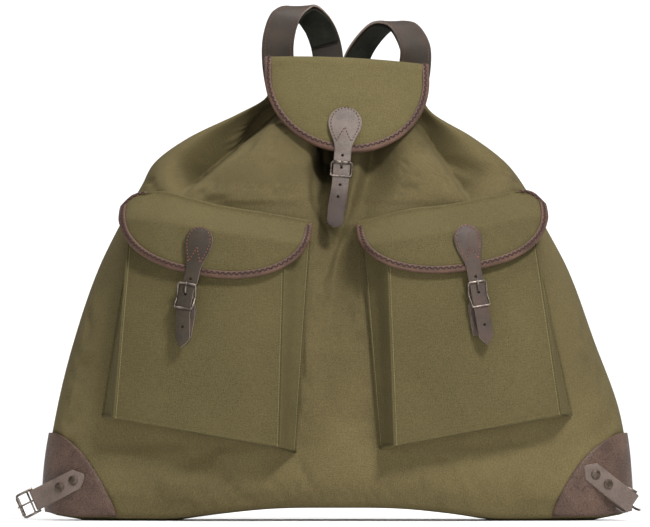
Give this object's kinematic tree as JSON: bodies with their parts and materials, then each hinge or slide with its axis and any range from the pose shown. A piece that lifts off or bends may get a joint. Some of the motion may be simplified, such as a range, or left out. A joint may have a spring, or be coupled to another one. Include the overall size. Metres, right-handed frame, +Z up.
{
  "type": "canvas rucksack",
  "caption": "Wide canvas rucksack with a gathered neck under a buckled lid, flapped front pockets, leather bottom corners and leather shoulder straps.",
  "frame": {"origin": "on the ground under the middle of the whole bag, straps and corner fittings included", "axes": "+X to the bag's left as worn, which is right in the front view; +Y from the front to the back; +Z up"},
  "size_m": [0.6336, 0.2598, 0.5238],
  "materials": {
    "canvas": "matt olive canvas",
    "binding_leather": "dull brown edge leather",
    "closure_leather": "smooth brown leather",
    "patch_leather": "grained brown leather",
    "strap_leather": "smooth dark brown leather",
    "felt": "dark felt",
    "steel": "burnished metal"
  },
  "bodies": {
    "bag": {"bag_body": "canvas", "lid": "canvas", "lid_binding": "binding_leather", "lid_tongue": "closure_leather", "lid_chape": "closure_leather", "lid_buckle": "steel", "lid_prong": "steel", "left_pocket": "canvas", "left_pocket_flap": "canvas", "left_pocket_binding": "binding_leather", "left_pocket_tongue": "closure_leather", "left_pocket_chape": "closure_leather", "left_pocket_buckle": "steel", "left_pocket_prong": "steel", "right_pocket": "canvas", "right_pocket_flap": "canvas", "right_pocket_binding": "binding_leather", "right_pocket_tongue": "closure_leather", "right_pocket_chape": "closure_leather", "right_pocket_buckle": "steel", "right_pocket_prong": "steel", "left_corner_patch": "patch_leather", "left_corner_tab": "closure_leather", "left_corner_rivet_inner": "steel", "left_corner_rivet_outer": "steel", "right_corner_patch": "patch_leather", "right_corner_tab": "closure_leather", "right_corner_rivet_inner": "steel", "right_corner_rivet_outer": "steel", "left_strap": "strap_leather", "left_strap_lining": "felt", "right_strap": "strap_leather", "right_strap_lining": "felt", "right_strap_ring": "steel"},
    "corner_buckle": {"corner_buckle": "steel"},
    "corner_prong": {"corner_prong": "steel"},
    "corner_hook": {"corner_hook": "steel"}
  },
  "joints": [
    {"name": "corner_buckle_swing", "type": "hinge", "parent": "bag", "child": "corner_buckle", "pos_m": [-0.2954, -0.027, 0.0214], "axis": [-0.3918, 0.1583, 0.9063], "range_deg": [-70, 50]},
    {"name": "corner_prong_swing", "type": "hinge", "parent": "corner_buckle", "child": "corner_prong", "pos_m": [-0.2954, -0.027, 0.0214], "axis": [-0.3918, 0.1583, 0.9063], "range_deg": [0, 70]},
    {"name": "corner_hook_swing", "type": "hinge", "parent": "bag", "child": "corner_hook", "pos_m": [0.3061, -0.03094, 0.0184], "axis": [-0.545, -0.2202, -0.809], "range_deg": [0, 90]}
  ]
}
